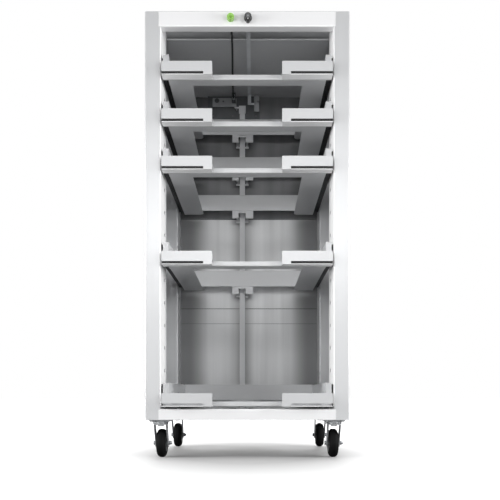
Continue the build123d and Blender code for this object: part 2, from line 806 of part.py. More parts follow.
def caster(place, x, y):
    """Swivelling fork with its axle bolt, and the hub and tyre that turn on it."""
    axle_y = y + caster_trail
    leg_inner = wheel_width / 2 + leg_gap
    leg_outer = leg_inner + leg_thickness
    with BuildPart() as fork:
        with BuildSketch(Plane.XY.offset(crown_low)):
            with Locations((x, y)):
                RectangleRounded(2 * leg_outer, crown_width, bend_radius)
        extrude(amount=crown_thickness)
        with BuildSketch(Plane.XY.offset(crown_top)):
            with Locations((x, y)):
                Circle(race_diameter / 2 - seat_gap * 2)
        extrude(amount=crown_gap - seat_gap * 2)
        for side in (-1, 1):
            with BuildSketch(Plane.YZ.offset(x + side * leg_inner)):
                with BuildLine():
                    high_front = (y - crown_width / 2 + bend_radius, crown_low)
                    high_rear = (y + crown_width / 2 - bend_radius, crown_low)
                    low_rear = (axle_y + leg_end_radius, axle_z)
                    low_front = (axle_y - leg_end_radius, axle_z)
                    Polyline(low_rear, high_rear, high_front, low_front)
                    ThreePointArc(low_front, (axle_y, axle_z - leg_end_radius), low_rear)
                make_face()
            extrude(amount=side * leg_thickness)
        with BuildSketch(Plane.YZ.offset(x - leg_outer)):
            with Locations((axle_y, axle_z)):
                Circle(axle_diameter / 2)
        extrude(amount=2 * leg_outer + axle_overhang)
        for start, reach in ((x + leg_outer, nut_height), (x - leg_outer, -nut_height)):
            with BuildSketch(Plane.YZ.offset(start)):
                with Locations((axle_y, axle_z)):
                    RegularPolygon(nut_width / 2, 6)
            extrude(amount=reach)
        with BuildSketch(Plane.XY.offset(crown_low)):
            with Locations((x, y)):
                Circle(kingpin_diameter / 2 + running_clearance)
        extrude(amount=crown_gap + crown_thickness, mode=Mode.SUBTRACT)
    save(fork, f"caster_fork_{place}")
    with BuildPart() as hub:
        with BuildSketch(Plane.YZ.offset(x - hub_width / 2)):
            with Locations((axle_y, axle_z)):
                Circle(hub_diameter / 2)
        extrude(amount=hub_width)
        with BuildSketch(Plane.YZ.offset(x - leg_inner + seat_gap)):
            with Locations((axle_y, axle_z)):
                Circle(axle_diameter)
        extrude(amount=2 * (leg_inner - seat_gap))
        with BuildSketch(Plane.YZ.offset(x - leg_inner)):
            with Locations((axle_y, axle_z)):
                Circle(axle_diameter / 2 + running_clearance)
        extrude(amount=2 * leg_inner, mode=Mode.SUBTRACT)
    save(hub, f"wheel_hub_{place}")
    with BuildPart() as tyre:
        with BuildSketch(Plane.YZ.offset(x - wheel_width / 2)):
            with Locations((axle_y, axle_z)):
                Circle(wheel_diameter / 2)
                Circle(hub_diameter / 2 + running_clearance, mode=Mode.SUBTRACT)
        extrude(amount=wheel_width)
        shoulders = tyre.edges().filter_by(GeomType.CIRCLE).filter_by(
            lambda edge: edge.radius > hub_diameter / 2 + overcut
        )
        fillet(shoulders, radius=tread_radius)
    save(tyre, f"tyre_{place}")


for place, (x, y) in caster_places.items():
    caster(place, x, y)
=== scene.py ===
import json
import bmesh
import bpy
import numpy as np
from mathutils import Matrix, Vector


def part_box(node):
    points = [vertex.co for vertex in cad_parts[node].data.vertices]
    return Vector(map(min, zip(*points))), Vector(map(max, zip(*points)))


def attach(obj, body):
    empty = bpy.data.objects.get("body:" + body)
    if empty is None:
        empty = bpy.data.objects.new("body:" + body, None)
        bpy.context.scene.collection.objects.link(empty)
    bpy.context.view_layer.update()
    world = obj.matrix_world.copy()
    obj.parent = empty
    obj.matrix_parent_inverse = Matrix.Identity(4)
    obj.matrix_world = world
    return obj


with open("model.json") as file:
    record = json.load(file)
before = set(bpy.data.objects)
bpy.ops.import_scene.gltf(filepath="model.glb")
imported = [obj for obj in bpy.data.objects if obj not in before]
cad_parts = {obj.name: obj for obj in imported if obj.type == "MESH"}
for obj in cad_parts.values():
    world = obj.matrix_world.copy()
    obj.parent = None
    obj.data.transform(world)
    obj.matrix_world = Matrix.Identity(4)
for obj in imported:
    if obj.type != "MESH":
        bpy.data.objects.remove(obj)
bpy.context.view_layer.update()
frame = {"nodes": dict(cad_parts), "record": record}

# The studio: a pale room with soft lights in front at three heights, two at each side, one above
# and one behind. The camera stands low and level, and its frame is moved up to take in the whole
# cabinet.
front_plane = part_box("front_upright_left")[0][1]
focal_pixels = 687.0
frame_pixels = 500.0
camera_distance = 1.75
camera_side = 0.0204
camera_height = 0.1627
level_row = 395.45
side_shift = -0.0104

white = (1.0, 1.0, 1.0, 1.0)
room_light = 0.14
room = bpy.data.worlds.new("studio_room")
bpy.context.scene.world = room
room.use_nodes = True
shine = room.node_tree.nodes["Background"]
shine.inputs["Color"].default_value = white
shine.inputs["Strength"].default_value = room_light
backdrop = room.node_tree.nodes.new("ShaderNodeBackground")
backdrop.inputs["Color"].default_value = white
backdrop.inputs["Strength"].default_value = 1.0
seen = room.node_tree.nodes.new("ShaderNodeLightPath")
choice = room.node_tree.nodes.new("ShaderNodeMixShader")
surface = room.node_tree.nodes["World Output"].inputs["Surface"]
for source, target in (
    (seen.outputs["Is Camera Ray"], choice.inputs[0]),
    (shine.outputs[0], choice.inputs[1]),
    (backdrop.outputs[0], choice.inputs[2]),
    (choice.outputs[0], surface),
):
    room.node_tree.links.new(source, target)
bpy.context.scene.view_settings.view_transform = "Standard"


def softbox(name, place, aim, size, watts):
    """Add a rectangular area light at a place, turned to face a point."""
    lamp = bpy.data.lights.new(name, "AREA")
    lamp.shape = "RECTANGLE"
    lamp.size, lamp.size_y = size
    lamp.energy = watts
    holder = bpy.data.objects.new(name, lamp)
    bpy.context.scene.collection.objects.link(holder)
    holder.location = place
    holder.visible_camera = False
    way = np.array(aim, float) - np.array(place, float)
    flat = np.hypot(way[0], way[1])
    holder.rotation_euler = (np.arctan2(flat, -way[2]), 0.0, np.arctan2(-way[0], way[1]))


softbox("front_light", (0.0, -1.0, 0.69), (0.0, 0.0, 0.66), (0.7, 0.25), 0.95)
softbox("high_light", (0.0, -2.4, 1.25), (0.0, 0.0, 0.62), (1.6, 0.3), 6.6)
softbox("low_light", (0.0, -2.2, 0.3), (0.0, 0.0, 0.6), (1.6, 0.2), 2.2)
softbox("left_light", (-2.3, -0.76, 0.8), (0.0, -0.2, 0.68), (0.4, 1.0), 46.0)
softbox("right_light", (2.3, -0.76, 0.8), (0.0, -0.2, 0.68), (0.4, 1.0), 46.0)
softbox("left_fill", (-1.6, -1.9, 0.8), (0.0, -0.2, 0.66), (0.5, 1.0), 18.0)
softbox("right_fill", (1.6, -1.9, 0.8), (0.0, -0.2, 0.66), (0.5, 1.0), 20.0)
softbox("top_light", (0.0, 0.4, 2.5), (0.0, 0.4, 0.0), (2.4, 1.8), 50.0)
softbox("back_light", (0.0, 3.2, 1.5), (0.0, 0.25, 0.6), (2.4, 1.4), 90.0)

camera = bpy.data.cameras.new("camera")
camera.sensor_width = 36.0
camera.lens = focal_pixels / frame_pixels * camera.sensor_width
camera.shift_x = side_shift
camera.shift_y = level_row / frame_pixels - 0.5
viewer = bpy.data.objects.new("camera", camera)
bpy.context.scene.collection.objects.link(viewer)
viewer.location = (camera_side, front_plane - camera_distance, camera_height)
viewer.rotation_euler = (np.pi / 2, 0.0, 0.0)
bpy.context.scene.camera = viewer


# The body's sheets. Lid, sides, floor, back and ceiling are flat sheet steel with folded edges,
# powder coated a light silver grey. The coat has a fine orange peel and is faintly cloudy.
class Wire:
    """A socket of a material's nodes. Plus and times on it add Math nodes."""

    def __init__(self, finish, socket):
        self.finish = finish
        self.socket = socket

    def math(self, operation, first, second):
        """One Math node on two values or wires."""
        return self.finish.node("Math", {"operation": operation}, {0: first, 1: second})

    def __add__(self, other):
        return self.math("ADD", self, other)

    __radd__ = __add__

    def __mul__(self, other):
        return self.math("MULTIPLY", self, other)

    __rmul__ = __mul__


class Finish:
    """A procedural material, built node by node on Object coordinates."""

    def __init__(self, name):
        self.material = bpy.data.materials.new(name)
        self.material.use_nodes = True
        self.tree = self.material.node_tree
        self.shader = self.tree.nodes["Principled BSDF"]
        place = self.tree.nodes.new("ShaderNodeTexCoord")
        self.place = Wire(self, place.outputs["Object"])
        self.facing = Wire(self, place.outputs["Normal"])

    def node(self, kind, settings, sockets, out=0):
        """Add a node, set it, fill or link its sockets, and return one output."""
        made = self.tree.nodes.new("ShaderNode" + kind)
        for name, value in settings.items():
            setattr(made, name, value)
        for key, value in sockets.items():
            self.feed(made.inputs[key], value)
        return Wire(self, made.outputs[out])

    def feed(self, socket, value):
        """Link a wire to a socket, or set the socket's own value."""
        if isinstance(value, Wire):
            self.tree.links.new(value.socket, socket)
        else:
            socket.default_value = value

    def noise(self, scale, detail=2.0, stretch=(1.0, 1.0, 1.0)):
        """Noise from 0 to 1 at a number of features per metre, stretched along the axes."""
        spot = self.node("Mapping", {}, {"Vector": self.place, "Scale": stretch})
        return self.node("TexNoise", {}, {"Vector": spot, "Scale": scale, "Detail": detail})

    def mix(self, share, first, second):
        """A colour between two colours by a share from 0 to 1."""
        made = self.tree.nodes.new("ShaderNodeMix")
        made.data_type = "RGBA"
        self.feed(made.inputs[0], share)
        self.feed(made.inputs[6], first)
        self.feed(made.inputs[7], second)
        return Wire(self, made.outputs[2])

    def coat(self, **sockets):
        """Fill the shader's own sockets, named with underscores for spaces."""
        for name, value in sockets.items():
            self.feed(self.shader.inputs[name.replace("_", " ")], value)

    def bump(self, height, strength, distance):
        """Raise the surface by a height wire."""
        normal = self.node(
            "Bump", {}, {"Height": height, "Strength": strength, "Distance": distance}
        )
        self.feed(self.shader.inputs["Normal"], normal)


def rgb(red, green, blue):
    """A colour given as it looks on a screen, from 0 to 255, made linear."""
    screen = np.array([red, green, blue]) / 255.0
    linear = np.where(screen <= 0.04045, screen / 12.92, ((screen + 0.055) / 1.055) ** 2.4)
    return (*linear.tolist(), 1.0)


def dress(finish, *names):
    """Give CAD nodes a finish in place of the record's plain one."""
    for name in names:
        for slot in frame["nodes"][name].material_slots:
            slot.material = finish.material


def nodes_in(slot_name):
    """Names of the nodes that take their finish from one of the record's slots."""
    parts = frame["record"]["subparts"]
    return [part["node"] for part in parts if part["material_slot"] == slot_name]


def powder_coat(name, light, dark, gloss, sparkle=0.25, roll=(1.0, 1.0, 1.0)):
    """Powder coat: cloudy between two greys, drawn out by `roll`, with an orange-peel bump."""
    paint = Finish(name)
    cloud = paint.noise(9.0, 3.0) * 0.5 + paint.noise(160.0, 3.0, roll) * 0.5
    grain = paint.noise(1400.0, 2.0)
    peel = paint.noise(420.0, 2.0)
    paint.colour = paint.mix(cloud * 0.6 + grain * 0.4, dark, light)
    paint.coat(
        Base_Color=paint.colour,
        Roughness=peel * 0.10 + (gloss - 0.05),
        Metallic=sparkle,
    )
    paint.shader.inputs["Coat Weight"].default_value = 0.15
    paint.shader.inputs["Coat Roughness"].default_value = 0.3
    paint.bump(peel * 0.7 + grain * 0.3, 0.06, 0.0004)
    return paint


panel_light, panel_dark, panel_gloss = rgb(212, 213, 214), rgb(200, 201, 203), 0.42
panel_paint = powder_coat("panel_paint", panel_light, panel_dark, panel_gloss)
dress(panel_paint, *nodes_in("panel_paint"))

# The three back sheets have the body's coat outside. Inside, it is streaked along the rolling, with
# painted shade: a darker tone near the uprights and behind the bar, standing in for the shade in
# the corners and the bar's shadow on the wall.
upright_shade = (0.11, 0.195)
bar_side = 0.021
bar_shade = (0.01, 0.05)
bar_share = 0.55


def faded(wall, distance, near, far, first, last):
    """A share that runs smoothly from first at the near distance to last at the far one."""
    sockets = {0: distance, 1: near, 2: far, 3: first, 4: last}
    return wall.node("MapRange", {"interpolation_type": "SMOOTHSTEP"}, sockets)


def wall_coat(node, light, dark, shade_tone):
    """Dress a back sheet: panel coat outside, streaks inside, painted shade by the uprights and
    bar.
    """
    wall = powder_coat(f"{node}_coat", panel_light, panel_dark, panel_gloss)
    across = wall.node("SeparateXYZ", {}, {0: wall.facing}, 1)
    inward = wall.node("Math", {"operation": "LESS_THAN"}, {0: across, 1: -0.5})
    spot = wall.node("SeparateXYZ", {}, {0: wall.place})
    from_middle = wall.node("Math", {"operation": "ABSOLUTE"}, {0: spot})
    from_bar = wall.node("Math", {"operation": "ABSOLUTE"}, {0: spot + bar_side})
    # Painted shade: the inside darkens towards the uprights and in a band beside the lock bar,
    # where their shadows fall.
    edge = faded(wall, from_middle, *upright_shade, 0.0, 1.0)
    behind = faded(wall, from_bar, *bar_shade, bar_share, 0.0)
    painted_shade = wall.node("Math", {"operation": "MAXIMUM"}, {0: edge, 1: behind})
    streak = wall.noise(34.0, 3.0, (1.0, 1.0, 0.03))
    inside = wall.mix(painted_shade, wall.mix(streak, dark, light), shade_tone)
    wall.coat(Base_Color=wall.mix(inward, wall.colour, inside))
    dress(wall, node)


# Inside tones: the upper sheet darker all over, painted shade of the upper bays; the middle and
# lower sheets lighter than their outside coat, painted light for the lit lower bays.
wall_coat("back_panel_upper", rgb(144, 145, 147), rgb(112, 113, 115), rgb(96, 97, 98))
for node in ("back_panel_middle", "back_panel_lower"):
    wall_coat(node, rgb(250, 251, 252), rgb(206, 207, 208), rgb(132, 133, 134))

# Dome-headed rivets hold the three back sheets to each other and to the folded side sheets. They
# are drawn aluminium, set from outside, so the heads and the pins' ends show on the back.
weld_distance = 1e-6
smooth_angle = 0.6


def mesh_piece(name, points, faces, finish, body, slot):
    """A piece from rows of points and faces, welded where points meet and smooth below an angle."""
    mesh = bpy.data.meshes.new(name)
    mesh.from_pydata(np.asarray(points, float).tolist(), [], np.asarray(faces, int).tolist())
    shell = bmesh.new()
    shell.from_mesh(mesh)
    bmesh.ops.remove_doubles(shell, verts=shell.verts, dist=weld_distance)
    shell.to_mesh(mesh)
    shell.free()
    mesh.shade_smooth()
    mesh.set_sharp_from_angle(angle=smooth_angle)
    mesh.materials.append(finish.material)
    piece = bpy.data.objects.new(name, mesh)
    bpy.context.scene.collection.objects.link(piece)
    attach(piece, body)
    return piece


def turned(profile, places, along, sides=24):
    """Surface of revolution, copied to each place. A profile row is a height h along the axis and a
    radius r. Its points are place + h * axis + r * (cos t * u + sin t * v), with t once round."""
    axis = np.array(along, float)
    u = np.roll(axis, 1)
    v = np.cross(axis, u)
    rows = np.array(profile, float)
    turn = np.linspace(0.0, 2.0 * np.pi, sides, endpoint=False)
    ring = np.cos(turn)[:, None] * u + np.sin(turn)[:, None] * v
    shape = rows[:, 0, None, None] * axis + rows[:, 1, None, None] * ring
    places = np.atleast_2d(np.array(places, float))
    points = places[:, None, None, :] + shape
    step, side = np.meshgrid(np.arange(len(rows) - 1), np.arange(sides), indexing="ij")
    after = (side + 1) % sides
    low, high = step * sides, (step + 1) * sides
    quads = np.stack([low + side, low + after, high + after, high + side], axis=-1).reshape(-1, 4)
    start = np.arange(len(places))[:, None, None] * len(rows) * sides
    return points.reshape(-1, 3), (quads + start).reshape(-1, 4)


def zinc(name, light, dark, rough, metal=1.0):
    """Zinc plate: streaks along the rolling, small crystals and a soft blue tone."""
    plate = Finish(name)
    streak = plate.noise(220.0, 3.0, (1.0, 1.0, 0.06))
    bloom = plate.noise(45.0, 4.0)
    plate.coat(
        Base_Color=plate.mix(bloom * 0.7 + streak * 0.3, dark, light),
        Roughness=streak * 0.18 + rough,
        Metallic=metal,
    )
    plate.bump(streak * 0.5 + bloom * 0.5, 0.08, 0.0003)
    return plate


rivet_metal = zinc("rivet_metal", rgb(210, 211, 213), rgb(184, 186, 189), 0.3, 0.8)
rivet_profile = [
    (0.0, 0.0), (0.0, 0.0034), (0.0005, 0.0034), (0.0011, 0.0025), (0.0014, 0.0012),
    (0.0009, 0.0009), (0.0009, 0.0),
]
rivet_pitch = 0.075
rivet_inset = 0.010
lap_inset = 0.005
foot_gap, head_gap = 0.03, 0.02
lap_reach, lap_rivets = 0.18, 7
lap_row = np.linspace(-lap_reach, lap_reach, lap_rivets)
back_low, back_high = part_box("back_panel_lower")
lap_low, lap_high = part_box("back_panel_middle")
top_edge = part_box("back_panel_upper")[1][2]
edge_x = back_high[0] - rivet_inset
lower_z = np.arange(back_low[2] + foot_gap, lap_low[2] - head_gap, rivet_pitch)
upper_z = np.arange(lap_high[2] + foot_gap, top_edge - head_gap, rivet_pitch)
lap_z = [lap_low[2] + lap_inset, lap_high[2] - lap_inset]
middle_z = [*np.arange(lap_low[2] + 2 * foot_gap, lap_high[2] - 2 * head_gap, rivet_pitch), *lap_z]
rivet_places = [(side * edge_x, back_high[1], z) for side in (-1, 1) for z in (*lower_z, *upper_z)]
rivet_places += [(side * edge_x, lap_high[1], z) for side in (-1, 1) for z in middle_z]
rivet_places += [(x, lap_high[1], z) for z in lap_z for x in lap_row]
mesh_piece("back_rivets", *turned(rivet_profile, rivet_places, (0, 1, 0), 16),
           rivet_metal, "cabinet", "mechanism_zinc")

# A dark grey bead lies inside along each lap between the back sheets and along a pressed crease in
# the lower sheet: painted shade of the laps and the crease. They are a millimetre or two high and
# run from upright to upright.
bead_lips = (0.0007, 0.0003)
bead_taper, bead_play = 0.2, 0.0004
low_seam_rise, low_seam_tall = 0.0101, 0.0017
rib_drop, rib_tall = 0.0382, 0.0011
high_seam_drop, high_seam_tall = 0.0112, 0.0012


def folded(outline, low, high, across=0):
    """Prism of an outline drawn in the two axes other than `across`, carried from low to high along
    it, with flat ends. Point (a, b) becomes (low or high, a, b) in the order of the axes."""
    line = np.array(outline, float)
    count = len(line)
    points = np.concatenate([np.insert(line, across, level, axis=1) for level in (low, high)])
    index = np.arange(count)
    after = (index + 1) % count
    sides = np.stack([index, after, after + count, index + count], axis=-1).tolist()
    return points, sides + [list(range(count - 1, -1, -1)), list(range(count, 2 * count))]


def prism_piece(name, outlines, finish, body, across=0, bevel=0.0004):
    """One piece of several prisms, each an outline with its low and high end, edges eased."""
    points, faces, start = [], [], 0
    for outline, low, high in outlines:
        shape, sides = folded(outline, low, high, across)
        points.append(shape)
        faces += [[corner + start for corner in face] for face in sides]
        start += len(shape)
    mesh = bpy.data.meshes.new(name)
    mesh.from_pydata(np.concatenate(points).tolist(), [], faces)
    shell = bmesh.new()
    shell.from_mesh(mesh)
    bmesh.ops.recalc_face_normals(shell, faces=shell.faces)
    shell.to_mesh(mesh)
    shell.free()
    mesh.materials.append(finish.material)
    piece = bpy.data.objects.new(name, mesh)
    bpy.context.scene.collection.objects.link(piece)
    edge = piece.modifiers.new("edge", "BEVEL")
    edge.width = bevel
    edge.segments = 2
    edge.limit_method = "ANGLE"
    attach(piece, body)
    return piece


def moulded(name, dark, light, tone, sheen, grain):
    """Plastic, rubber or sealer, clouded between two colours at a scale. Sheen is the scale, spread
    and least value of its roughness, and grain the scale, strength and height of its bump."""
    stuff = Finish(name)
    stuff.coat(
        Base_Color=stuff.mix(stuff.noise(tone), dark, light),
        Roughness=stuff.noise(sheen[0]) * sheen[1] + sheen[2],
    )
    stuff.bump(stuff.noise(grain[0]), grain[1], grain[2])
    return stuff


# Painted shade: a dark grey standing in for the shade lines at the laps and the crease.
bead_shade = moulded("seam_shade_bead", rgb(58, 59, 60), rgb(80, 81, 82), 260.0,
                 (400.0, 0.2, 0.5), (500.0, 0.15, 0.0003))
wall_y = back_low[1]
bead_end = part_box("rear_upright_right")[0][0] - bead_play
beads = [
    (lap_low[2] + low_seam_rise, low_seam_tall),
    (lap_low[2] - rib_drop, rib_tall),
    (lap_high[2] - high_seam_drop, high_seam_tall),
]
back_lip, front_lip = wall_y - bead_lips[0], wall_y + bead_lips[1]
bead_lines = []
for z, tall in beads:
    low, high = z + bead_taper * tall, z + (1.0 - bead_taper) * tall
    outline = [(back_lip, low), (front_lip, z), (front_lip, z + tall), (back_lip, high)]
    bead_lines.append((outline, -bead_end, bead_end))
prism_piece("seam_beads", bead_lines, bead_shade, "cabinet", 0, 0.0001)

# The front frame and the slotted uprights carry the body. They are thicker steel, folded and
# punched with a row of slots for the slides, and coated alike, with faint rolling marks along them.
# The inner faces of the front ones' webs, which look into the opening, are painted white as painted
# light, for the side light that falls on them.
frame_light, frame_dark = rgb(220, 221, 222), rgb(208, 209, 211)
frame_gloss, frame_sparkle = 0.36, 0.4
rolled = (1.0, 1.0, 0.02)
frame_coat = (frame_light, frame_dark, frame_gloss, frame_sparkle, rolled)
frame_paint = powder_coat("frame_paint", *frame_coat)
dress(frame_paint, *nodes_in("frame_paint"))
# Painted light: the webs' inner faces are made white and not metallic, for the side light on them.
web_painted_light = rgb(254, 254, 254)
for upright, compare, limit in (
    ("front_upright_left", "GREATER_THAN", 0.5),
    ("front_upright_right", "LESS_THAN", -0.5),
):
    web_paint = powder_coat(f"{upright}_web", *frame_coat)
    sideways = web_paint.node("SeparateXYZ", {}, {0: web_paint.facing})
    web_face = web_paint.node("Math", {"operation": compare}, {0: sideways, 1: limit})
    web_paint.coat(
        Base_Color=web_paint.mix(web_face, web_paint.colour, web_painted_light),
        Metallic=web_face * -frame_sparkle + frame_sparkle,
    )
    dress(web_paint, upright)

# The two cross rails close the front frame at the top and at the foot. They are folded from the
# same steel and welded between the stiles, and coated whiter than the stiles: painted light for the
# brighter light they catch.
# Painted light: a whiter copy of the frame's coat.
rail_lit_paint = powder_coat("rail_lit_paint", rgb(242, 242, 243), rgb(235, 235, 236), 0.45)
dress(rail_lit_paint, "top_rail", "bottom_rail")

# The trays and their fronts: side walls, floor flanges and a rear wall of folded and welded sheet,
# with two grip plates in front, all coated like the body.
tray_paint = powder_coat("tray_paint", rgb(208, 209, 210), rgb(198, 199, 201), 0.40)
dress(tray_paint, *nodes_in("tray_paint"))

# Under each grip plate a sill closes the grip from below. It is a flat strip of the same sheet,
# welded to the foot of the plate and to the front, coated whiter than the tray: painted light for
# the light thrown up from the floor. A near-black band lies behind the slot above it, in all
# drawers but the lowest: painted shade of the slot.
drawers = range(1, 6)
lowest = 1
tray_sheet = 0.0015
front_depth = 0.030
sill_start, slot_start = 0.0886, 0.1112
sill_gap, slot_gap = 0.0002, 0.0006
edge_rear, edge_thick, edge_tall = 0.0030, 0.0012, 0.0092
seat = 0.0001
# Painted shade: a near-black band standing in for the shadow inside the grip slot.
slot_shade_band = moulded("slot_shade_band", rgb(26, 26, 27), rgb(40, 40, 41), 240.0,
                      (500.0, 0.2, 0.55), (800.0, 0.1, 0.0003))
# Painted light: the sill's coat is whiter than the tray's, for its lit underside.
sill_lit_paint = powder_coat("sill_lit_paint", rgb(252, 252, 253), rgb(246, 246, 247), 0.40, 0.0)


def box_outline(low, high):
    """Corners of a rectangle from its low and high corner, in order."""
    return [(low[0], low[1]), (high[0], low[1]), (high[0], high[1]), (low[0], high[1])]


def both_sides(outline, near, far):
    """The same outline at both sides of the middle, each with its low and high end."""
    return [(outline, *sorted((side * near, side * far))) for side in (-1, 1)]


for number in drawers:
    front_low, front_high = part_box(f"tray_front_{number}")
    floor_z = front_low[2] + tray_sheet
    plate_y, strip_y = front_low[1], front_low[1] + front_depth
    sill = box_outline((plate_y + seat, front_low[2] + seat), (strip_y - seat, floor_z))
    prism_piece(f"grip_sills_{number}", both_sides(sill, sill_start, front_high[0] - sill_gap),
                sill_lit_paint, f"drawer_{number}", 0, 0.0003)
    if number > lowest:
        edge_y = plate_y + edge_rear
        # The dark band behind the slot, painted shade.
        shade_band = box_outline((edge_y, floor_z - seat), (edge_y + edge_thick, floor_z + edge_tall))
        edges = both_sides(shade_band, slot_start, front_high[0] - slot_gap)
        prism_piece(f"grip_edges_{number}", edges, slot_shade_band, f"drawer_{number}",
                    0, 0.0004)

# Three screws through each side wall hold the tray to its slides. They are zinc-plated steel with
# a low round head and a driving recess, put in from inside the tray.
screw_metal = zinc("screw_metal", rgb(198, 200, 203), rgb(170, 173, 177), 0.3, 0.9)
screw_profile = [
    (0.0, 0.0), (0.0, 0.0042), (0.0004, 0.0042), (0.0010, 0.0034), (0.0013, 0.0021),
    (0.0011, 0.0019), (0.0004, 0.0014), (0.0003, 0.0),
]
slides_width = 0.0224
screw_inset = 0.06
wall_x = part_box("slide_outer_members")[1][0] - slides_width - tray_sheet


def joined(shapes):
    """Several shapes as one: points in a row, faces counted on past the points before them."""
    starts = np.cumsum([0] + [len(points) for points, _ in shapes[:-1]])
    faces = [faces + start for (_, faces), start in zip(shapes, starts)]
    return np.concatenate([points for points, _ in shapes]), np.concatenate(faces)


for number in drawers:
    slide_low, slide_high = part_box(f"slide_inner_{number}")
    screw_z = (slide_low[2] + slide_high[2]) / 2
    screw_y = np.linspace(slide_low[1] + screw_inset, slide_high[1] - screw_inset, 3)
    rows = [
        turned(screw_profile, [(side * wall_x, y, screw_z) for y in screw_y], (-side, 0, 0), 16)
        for side in (-1, 1)
    ]
    mesh_piece(f"tray_screws_{number}", *joined(rows), screw_metal, f"drawer_{number}",
               "mechanism_zinc")

# The telescopic slides: three nested members of rolled steel at each side, phosphated black with a
# thin film of oil, and toned darker still as painted shade of the gaps beside the trays. The outer
# hooks into the uprights' slots, the inner is screwed to the tray.
slide_steel = Finish("slide_steel")
rubbed = slide_steel.noise(60.0, 3.0, (1.0, 0.05, 1.0))
# Near black: partly the slides' own finish, partly painted shade of the gaps they sit in.
slide_steel.coat(
    Base_Color=slide_steel.mix(rubbed, rgb(16, 16, 17), rgb(30, 30, 32)),
    Roughness=rubbed * 0.2 + 0.35,
    Metallic=0.6,
)
slide_steel.bump(slide_steel.noise(900.0), 0.05, 0.0003)
dress(slide_steel, *nodes_in("slide_steel"))

# A moulded nylon cap closes the front end of each pair of middle members and takes the knock when
# the drawer shuts. It is pressed on over the steel and rounded outwards.
cap_nylon = moulded("cap_nylon", rgb(20, 20, 21), rgb(34, 34, 35), 240.0,
                    (500.0, 0.15, 0.45), (800.0, 0.1, 0.0003))
cap_tall, cap_proud, cap_lap = 0.010, 0.0016, 0.0001
cap_inset = 0.004
inner_clear, outer_clear = 0.0006, 0.0008
for number in drawers:
    middle_low, middle_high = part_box(f"slide_middle_{number}")
    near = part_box(f"slide_inner_{number}")[1][0] + inner_clear
    far = middle_high[0] - outer_clear
    cap_y = (middle_low[1] - cap_proud, middle_low[1] + cap_lap)
    caps = []
    for side in (-1, 1):
        ends = sorted((side * near, side * far))
        for z in (middle_low[2] + cap_inset, middle_high[2] - cap_inset - cap_tall):
            caps.append((box_outline((cap_y[0], z), (cap_y[1], z + cap_tall)), *ends))
    prism_piece(f"slide_caps_{number}", caps, cap_nylon, f"slide_pair_{number}",
                0, 0.0005)

# The lock bar stands behind the trays and blocks their catches. It is flat steel bar in a light
# coat, held to the back by two guides and lifted by the lever at its head.
bar_paint = powder_coat("bar_paint", rgb(240, 241, 242), rgb(228, 229, 231), 0.42, 0.0)
dress(bar_paint, *nodes_in("bar_paint"))

# The release plate hangs from the ceiling and carries the lever; guides, lever and lock rod belong
# with it. All are pressed steel, zinc plated in one finish, toned by light: the plate dull and
# darker as painted shade, lever and rod lighter as painted light.
# Painted shade: the plate's zinc toned dark.
shaded_plate_zinc = zinc("shaded_plate_zinc", rgb(124, 126, 128), rgb(98, 100, 102), 0.4, 0.5)
dress(shaded_plate_zinc, "release_plate", "bar_guides")
# Painted light: the lever's and rod's zinc toned light.
lit_lever_zinc = zinc("lit_lever_zinc", rgb(196, 198, 200), rgb(168, 170, 173), 0.38, 0.35)
dress(lit_lever_zinc, "release_lever")
lit_rod_zinc = zinc("lit_rod_zinc", rgb(232, 234, 236), rgb(208, 211, 214), 0.36, 0.25)
dress(lit_rod_zinc, "lock_rod")

# The lever turns on a bolt with a washer, and a small folded bracket stiffens the plate beside it.
# Both are zinc-plated steel, set on the plate's front face.
pivot_side, pivot_drop = 0.0143, 0.010
bracket_insets = (0.0185, 0.0015)
leaf_thick, leaf_foot, leaf_head = 0.0016, 0.018, 0.001
shelf_reach, shelf_root, shelf_drops = 0.0095, 0.0001, (0.024, 0.0225)
plate_low, plate_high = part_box("release_plate")
lever_low, lever_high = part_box("release_lever")
pivot = (lever_low[0] + pivot_side, lever_low[1], lever_high[2] - pivot_drop)
washer_profile = [
    (-0.0001, 0.0041), (-0.0001, 0.0072), (0.0004, 0.0075), (0.0009, 0.0072), (0.0009, 0.0046),
    (0.0018, 0.0042), (0.0021, 0.0030), (0.0021, 0.0),
]
mesh_piece("pivot_washer", *turned(washer_profile, pivot, (0, -1, 0), 24), shaded_plate_zinc, "cabinet",
           "mechanism_zinc")
bracket_x = [plate_high[0] - inset for inset in bracket_insets]
bracket_leaf = box_outline((plate_low[1] - leaf_thick, plate_low[2] + leaf_foot),
                           (plate_low[1], plate_high[2] - leaf_head))
bracket_shelf = box_outline((plate_low[1] - shelf_reach, plate_high[2] - shelf_drops[0]),
                            (plate_low[1] - shelf_root, plate_high[2] - shelf_drops[1]))
bracket = [(bracket_leaf, *bracket_x), (bracket_shelf, *bracket_x)]
prism_piece("plate_bracket", bracket, lit_lever_zinc, "cabinet")

# The two guides that hold the lock bar are screwed to the back at their ears, with the same
# low-headed screws as the trays.
ear_inset, ear_thick = 0.0048, 0.0012
low_ear_rise, high_ear_drop = 0.034, 0.006
guide_low, guide_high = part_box("bar_guides")
ear_x = (guide_low[0] + ear_inset, guide_high[0] - ear_inset)
guide_z = (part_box("tray_1")[0][2] + low_ear_rise, guide_high[2] - high_ear_drop)
guide_screws = [(x, guide_high[1] - ear_thick, z) for x in ear_x for z in guide_z]
mesh_piece("guide_screws", *turned(screw_profile, guide_screws, (0, -1, 0), 16), screw_metal,
           "cabinet", "mechanism_zinc")

